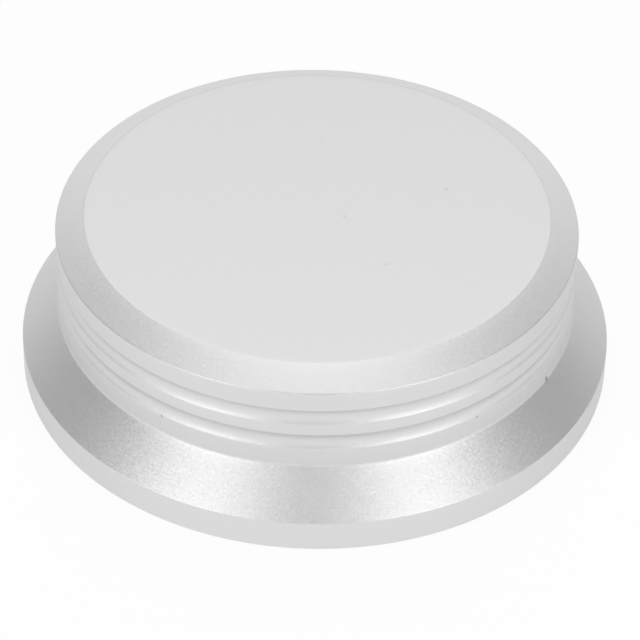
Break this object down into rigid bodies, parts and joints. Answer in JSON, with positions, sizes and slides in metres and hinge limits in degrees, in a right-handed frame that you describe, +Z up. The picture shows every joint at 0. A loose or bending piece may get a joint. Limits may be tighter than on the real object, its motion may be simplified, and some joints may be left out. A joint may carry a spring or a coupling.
{
  "type": "record weight",
  "caption": "Flat-topped round weight turned from aluminium, with a chamfered top, grip grooves, a sloped flange and a blind spindle hole; it presses a record flat on a turntable.",
  "frame": {"origin": "centre of the foot, on the turning axis, in the plane that the foot ring rests on", "axes": "+Z runs up the turning axis and out of the flat top; X and Y are alike, because the part is round"},
  "size_m": [0.08, 0.08, 0.024],
  "materials": {
    "satin_aluminium": "bead-blasted and clear anodised, silver satin"
  },
  "bodies": {
    "root": {"weight_body": "satin_aluminium"}
  },
  "joints": []
}
